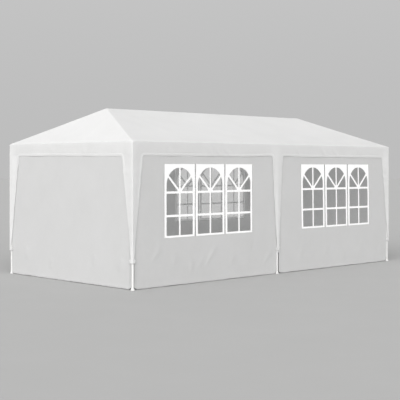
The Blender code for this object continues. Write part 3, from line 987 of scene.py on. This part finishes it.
for key, (u0, u1, middle) in SPAN.items():
    side = SIDE_OF[key]
    z0, z1 = WALL_Z
    rect = [(u0, z0), (u1, z0), (u1, z1), (u0, z1)]
    loops = [dense(rect, 0.026)]
    grid = hexes(u0, u1, z0, z1, 0.026)
    grid = grid[(grid[:, 0] > u0 + 0.012) & (grid[:, 0] < u1 - 0.012) & (grid[:, 1] > z0 + 0.012) & (grid[:, 1] < z1 - 0.012)]
    hole = None
    if middle is not None:
        hole = [(middle - HOLE_W / 2, HOLE_Z[0]), (middle + HOLE_W / 2, HOLE_Z[0]), (middle + HOLE_W / 2, HOLE_Z[1]), (middle - HOLE_W / 2, HOLE_Z[1])]
        loops.append(dense(hole, 0.026))
        grid = grid[~inside(hole, grid)]
        grid = grid[clear_of(list(zip(hole, hole[1:] + hole[:1])), grid, 0.012)]
    v, f = triangulate(loops, grid, (lambda c: np.ones(len(c), bool)) if hole is None else (lambda c, h=hole: ~inside(h, c)))
    name = f"window_wall_{key}_sheet" if middle is not None else f"end_wall_{key}_sheet"
    node = f"window_wall_{key}" if middle is not None else f"end_wall_{key}"
    walls[key] = finish_piece(new_mesh(name, wall_points(key, v[:, 0], v[:, 1]), f, v), WALL)
    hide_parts(node)

    parts = [band(rect, 0.032, lambda u, z, l, k=key: wall_points(k, u, z, l), closed=True, step=0.026)]
    V, F, T = join_parts(parts)
    wall_hems[key] = finish_piece(new_mesh(node + "_hem", V, F, T), WALL_HEM)
    if hole is not None:
        m, lap = middle, HOLE_W / 2 + LAP
        frect = [(m - lap, HOLE_Z[0] - LAP), (m + lap, HOLE_Z[0] - LAP), (m + lap, HOLE_Z[1] + LAP), (m - lap, HOLE_Z[1] + LAP)]
        grid = hexes(m - lap + 0.015, m + lap - 0.015, HOLE_Z[0] - LAP + 0.015, HOLE_Z[1] + LAP - 0.015, 0.032)
        grid = grid[(grid[:, 0] < m + lap - 0.012) & (grid[:, 1] < HOLE_Z[1] + LAP - 0.012)]
        v, f = triangulate([dense(frect, 0.032)], grid, lambda c: np.ones(len(c), bool))
        films[key] = finish_piece(
            new_mesh(f"window_film_{key}_sheet", wall_points(key, v[:, 0], v[:, 1], -0.0012), f, v), FILM
        )
        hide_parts(f"window_film_{key}")
        V, F, T = print_parts(middle, lambda u, z, l, k=key: wall_points(k, u, z, -0.0006 + l))
        prints[key] = finish_piece(fix_normals(new_mesh(f"window_print_{key}", V, F, T)), PRINT)


# -------------------------------------------------- straps and ties
def ribbon(points, normals, width, thick, closed, along=None):
    """A flat tape along points in 3-D. normals point out of its face; its width runs across both."""
    p, n = np.asarray(points, float), np.asarray(normals, float)
    d = np.roll(p, -1, axis=0) - np.roll(p, 1, axis=0)
    if not closed:
        d[0], d[-1] = p[1] - p[0], p[-1] - p[-2]
    d /= np.linalg.norm(d, axis=1)[:, None]
    w = np.cross(d, n)
    w /= np.linalg.norm(w, axis=1)[:, None]
    n = np.cross(w, d)
    h, e = width / 2, min(thick * 0.5, width * 0.1)
    section = [(-h + e, 0), (h - e, 0), (h, thick * 0.3), (h, thick * 0.7), (h - e, thick), (-h + e, thick), (-h, thick * 0.7), (-h, thick * 0.3)]
    rows, uv = [], []
    step = np.linalg.norm(np.diff(p, axis=0), axis=1)
    length = np.concatenate([[0], np.cumsum(step)])
    for a, b in section:
        rows.append(p + a * w + b * n)
        uv.append(np.stack([length, np.full(len(p), a)], 1))
    m, k = len(p), len(section)
    faces = []
    for r in range(k):
        s = (r + 1) % k
        for i in range(m if closed else m - 1):
            j = (i + 1) % m
            faces.append((r * m + i, r * m + j, s * m + j, s * m + i))
    if not closed:
        faces.append(tuple(r * m for r in range(k)))
        faces.append(tuple(r * m + m - 1 for r in reversed(range(k))))
    return np.concatenate(rows), faces, np.concatenate(uv)


# A strap sewn to both edges of each strip's lower end and passed round the back of the leg.
STRAP_Z, STRAP_W, STRAP_T = 0.3885, 0.030, 0.0014


strap_parts = []
for x, y in LEG_XY:
    if abs(x) > 0.1:
        # e runs along the long side and f along the short side, both from the corner fold
        e, f = np.array((-math.copysign(1, x), 0.0, 0)), np.array((0, -math.copysign(1, y), 0.0))
        K = np.array((math.copysign(HL, x), math.copysign(HW, y), 0.0))
        c = (FRAME_IN, FRAME_IN)
        arc = np.radians(np.linspace(28.0, 59.5, 12))
        path = []
        for cuff in (SIDE_CUFF, END_CUFF):
            path.append([(cuff - 0.016, -0.0014, 0, -1), (cuff + 0.0004, -0.0014, 0, -1), (cuff + 0.0026, -0.0004, 0.7, -0.7), (cuff + 0.0032, 0.0022, 1, -0.1)])
        path = path[0] + [(c[0] + (TUBE_R + 0.0006) * math.cos(t), c[1] + (TUBE_R + 0.0006) * math.sin(t), math.cos(t), math.sin(t)) for t in arc] + [(b, a, nb, na) for a, b, na, nb in path[1][::-1]]
    else:
        e, f = np.array((1.0, 0, 0)), np.array((0, -math.copysign(1, y), 0.0))
        K = np.array((0.0, math.copysign(HW, y), 0.0))
        c = (0.0, FRAME_IN)
        half_path = [(MID_CUFF - 0.016, -0.0014, 0, -1), (MID_CUFF + 0.0004, -0.0014, 0, -1), (MID_CUFF + 0.0026, -0.0004, 0.7, -0.7), (MID_CUFF + 0.0032, 0.0022, 1, -0.1)]
        arc = np.radians(np.linspace(38.5, 141.5, 18))
        path = half_path + [(c[0] + (TUBE_R + 0.0006) * math.cos(t), c[1] + (TUBE_R + 0.0006) * math.sin(t), math.cos(t), math.sin(t)) for t in arc]
        path += [(-a, b, -na, nb) for a, b, na, nb in half_path[::-1]]
    q = np.array(path)
    pts = K + q[:, 0:1] * e + q[:, 1:2] * f + STRAP_Z * UP
    nrm = q[:, 2:3] * e + q[:, 3:4] * f
    strap_parts.append(ribbon(pts, nrm, STRAP_W, STRAP_T, False))
V, F, T = join_parts(strap_parts)
leg_straps = finish_piece(fix_normals(new_mesh("leg_strip_straps", V, F, T)), WEB)

# straps that hang each wall from its eave tube
TUBE_Z = 2.018
for key, (u0, u1, middle) in SPAN.items():
    side = SIDE_OF[key]
    U, N, half, dist = SIDES[side]
    parts = []
    n = 6 if half > 2 else 6
    for k in range(n):
        u = u0 + 0.16 + (u1 - u0 - 0.32) * k / (n - 1)
        # up the inner face, over the tube and down the outer side to the wall's top hem
        oc, r = -FRAME_IN, TUBE_R + 0.0012
        at = {z: -WALL_IN + float(wall_out(key, np.array([u]), np.array([z]))[0]) for z in (1.925, 1.972)}
        prof = [(at[z] - 0.0024, z, -1, 0) for z in (1.925, 1.972)]
        for a in np.radians(np.linspace(204, -24, 21)):
            prof.append((oc + r * math.cos(a), TUBE_Z + r * math.sin(a), math.cos(a), math.sin(a)))
        prof += [(at[z] + 0.0024, z, 1, 0) for z in (1.972, 1.925)]
        q = np.array(prof)
        pts = u * U + (dist + q[:, 0])[:, None] * N + q[:, 1][:, None] * UP
        nrm = q[:, 2][:, None] * N + q[:, 3][:, None] * UP
        parts.append(ribbon(pts, nrm, 0.025, 0.0012, False))
    V, F, T = join_parts(parts)
    straps = fix_normals(new_mesh(f"wall_straps_{key}", V, F, T))
    finish_piece(straps, WEB)

# ties from each wall's edges round the legs
for key, (u0, u1, middle) in SPAN.items():
    side = SIDE_OF[key]
    U, N, half, dist = SIDES[side]
    parts = []
    for edge, way in ((u0, -1), (u1, 1)):
        leg_u = way * (half - FRAME_IN) if abs(edge) > 0.5 * half or half < 2 else 0.0
        for zt in TIE_HEIGHTS[key, -way]:
            # seen along the leg, from its centre: a is the way to the wall, b the way out
            stands = float(wall_out(key, np.array([edge]), np.array([zt]))[0])
            r, deep = TUBE_R + 0.0024, WALL_IN - FRAME_IN - max(stands, 0.0)
            reach = (edge - leg_u) * -way          # from the leg's centre to the wall's edge, towards the wall

            def tangent(a, b, sign):
                return math.degrees(math.atan2(b, a)) + sign * math.degrees(math.acos(r / math.hypot(a, b)))

            # from the hem's outer face round the leg to its inner face
            first, last = (reach + 0.010, 0.0030 - deep), (reach + 0.001, -deep - 0.0030)
            arc = np.radians(np.linspace(tangent(*first, 1), tangent(*last, -1) % 360, 26))
            prof = [(first[0] + 0.012, first[1], 0, 1), (*first, 0, 1)] + [(r * math.cos(t), r * math.sin(t), math.cos(t), math.sin(t)) for t in arc]
            prof += [(*last, 0, -1), (reach + 0.022, last[1], 0, -1)]
            q = np.array(prof)
            q[:, 0] *= -way
            q[:, 2] *= -way
            pts = (leg_u + q[:, 0])[:, None] * U + (dist - FRAME_IN + q[:, 1])[:, None] * N + zt * UP
            nrm = q[:, 2][:, None] * U + q[:, 3][:, None] * N
            parts.append(ribbon(pts, nrm, 0.026 if zt == 0.344 else 0.020, 0.0011, False))
    V, F, T = join_parts(parts)
    ties = fix_normals(new_mesh(f"wall_ties_{key}", V, F, T))
    finish_piece(ties, WEB)

# --------------------------------------------------- screws of the connectors
FX, FY, FZ = HL - FRAME_IN, HW - FRAME_IN, 2.018
RX, RZ = HL - 0.750 - 0.010, 2.5528


def screw(at, out, along):
    """A hexagon head on a washer, standing on a sleeve."""
    out, along = unit(out), unit(along)
    side = np.cross(out, along)
    parts = []
    for n, rings in (
        (16, [(0.0064, 0.0), (0.0064, 0.0010), (0.0060, 0.0013)]),
        (6, [(0.0052, 0.0013), (0.0052, 0.0044), (0.0045, 0.0052)]),
    ):
        v, f = [], []
        for r, h in rings:
            for k in range(n):
                a = 2 * math.pi * k / n
                v.append(at + out * h + r * (math.cos(a) * along + math.sin(a) * side))
        for i in range(len(rings) - 1):
            for k in range(n):
                f.append((i * n + k, i * n + (k + 1) % n, (i + 1) * n + (k + 1) % n, (i + 1) * n + k))
        f.append(tuple(range(n))[::-1])
        f.append(tuple((len(rings) - 1) * n + k for k in range(n)))
        parts.append((np.array(v), f, np.zeros((len(v), 2))))
    return join_parts(parts)


screws = []
ridge_points = {"left": (-RX, 0, RZ), "middle": (0, 0, RZ), "right": (RX, 0, RZ)}
for sy in (-1, 1):
    for name, x in (("left", -FX), ("middle", 0.0), ("right", FX)):
        c = np.array((x, sy * FY, FZ))
        arms = [np.array((0, 0, -1.0))]
        if name == "middle":
            arms += [np.array((1.0, 0, 0)), np.array((-1.0, 0, 0))]
            starts = [0.045] * 4
        else:
            arms += [np.array((-math.copysign(1, x), 0, 0)), np.array((0, -sy * 1.0, 0))]
            starts = [0.045, 0.045, 0.082, 0.082]
        arms.append(unit(np.array(ridge_points[name]) - c))
        for arm, start in zip(arms, starts):
            inward = np.array((-math.copysign(1, x) if abs(x) > 0.1 else 0.0, -sy * 1.0, -1.0))
            if abs(arm[2] + 1) < 1e-6:
                inward = np.array((-math.copysign(1, x) if abs(x) > 0.1 else 0.0, -sy * 1.0, 0.0))
            elif abs(arm[2]) > 0.05:
                inward = np.array((0, 0, -1.0))
            o = unit(inward - (inward @ arm) * arm)
            screws.append(screw(c + arm * (start + 0.048) + o * 0.0211, o, arm))
for name, c in ridge_points.items():
    c = np.array(c)
    arms = [np.array((1.0 if name != "right" else -1.0, 0, 0))]
    if name == "middle":
        arms.append(np.array((-1.0, 0, 0)))
    target = {"left": -FX, "middle": 0.0, "right": FX}[name]
    arms += [unit(np.array((target, sy * FY, FZ)) - c) for sy in (-1, 1)]
    for arm in arms:
        o = unit(np.array((0, 0, -1.0)) - (np.array((0, 0, -1.0)) @ arm) * arm)
        screws.append(screw(c + arm * (0.045 + 0.048) + o * 0.0211, o, arm))
V, F, T = join_parts(screws)
screw_obj = new_mesh("connector_screws", V, F, T, smooth_faces=False)
finish_piece(screw_obj, ZINC)

# ------------------------------------------------------- the carried-over frame
for name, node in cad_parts.items():
    if name.startswith(("leg_", "eave_tube", "hip_rafter", "middle_rafter", "ridge_tube", "corner_connector", "eave_connector", "ridge_connector")):
        node.data.materials.clear()
        node.data.materials.append(STEEL)
        for poly_slot in node.material_slots:
            poly_slot.material = STEEL

# ----------------------------------------------------------- floor and lights
k = Nodes("pale_floor")
obj = k.add("ShaderNodeTexCoord").outputs["Object"]
grain = k.noise(obj, 1.3, 5.0, 0.6)
fine = k.noise(obj, 60.0, 4.0, 0.6)
shade = k.math("ADD", k.math("MULTIPLY", grain, 0.6), k.math("MULTIPLY", fine, 0.4))
p = principled(k, k.tint(k.ramp(shade, 0.3, 0.7, 0, 1), (0.384, 0.384, 0.382), (0.400, 0.400, 0.398)), k.ramp(fine, 0.3, 0.7, 0.75, 0.9), k.bump(fine, 0.0008, 0.3))
k.link(p.outputs[0], k.out.inputs[0])
bm = bmesh.new()
ringed = [0.0, 6.0, 14.0, 40.0, 120.0]
n = 64
loops = []
for r in ringed[1:]:
    loops.append([bm.verts.new((r * math.cos(2 * math.pi * i / n), r * math.sin(2 * math.pi * i / n), 0.0)) for i in range(n)])
bm.faces.new(loops[0])
for a, b in zip(loops, loops[1:]):
    for i in range(n):
        j = (i + 1) % n
        bm.faces.new((a[i], b[i], b[j], a[j]))
me = bpy.data.meshes.new("floor")
bm.to_mesh(me)
bm.free()
floor = bpy.data.objects.new("floor", me)
floor.location.z = -0.0005
me.materials.append(k.mat)
bpy.context.scene.collection.objects.link(floor)

world = bpy.data.worlds.new("studio")
bpy.context.scene.world = world
world.use_nodes = True
wt = world.node_tree
back = wt.nodes["Background"]
coord = wt.nodes.new("ShaderNodeTexCoord")
sep = wt.nodes.new("ShaderNodeSeparateXYZ")
wt.links.new(coord.outputs["Generated"], sep.inputs[0])
rise = wt.nodes.new("ShaderNodeMapRange")
rise.interpolation_type = "SMOOTHSTEP"
rise.inputs["From Min"].default_value = -0.02
rise.inputs["From Max"].default_value = 0.60
rise.inputs["To Min"].default_value = 0.511
rise.inputs["To Max"].default_value = 0.68
wt.links.new(sep.outputs[2], rise.inputs["Value"])
wt.links.new(rise.outputs[0], back.inputs["Color"])
back.inputs["Strength"].default_value = 1.0

for name, energy, angle, way in (("key", 4.87, 90, (-0.778, -0.565, 0.276)),):
    light = bpy.data.lights.new(name, "SUN")
    light.energy = energy
    light.angle = math.radians(angle)
    light.color = (1.0, 0.997, 0.99)
    holder = bpy.data.objects.new(name, light)
    way = Vector(way).normalized()
    holder.rotation_mode = "QUATERNION"
    holder.rotation_quaternion = way.to_track_quat("Z", "Y")
    holder.location = way * 20
    bpy.context.scene.collection.objects.link(holder)

bpy.context.scene.view_settings.view_transform = "Standard"
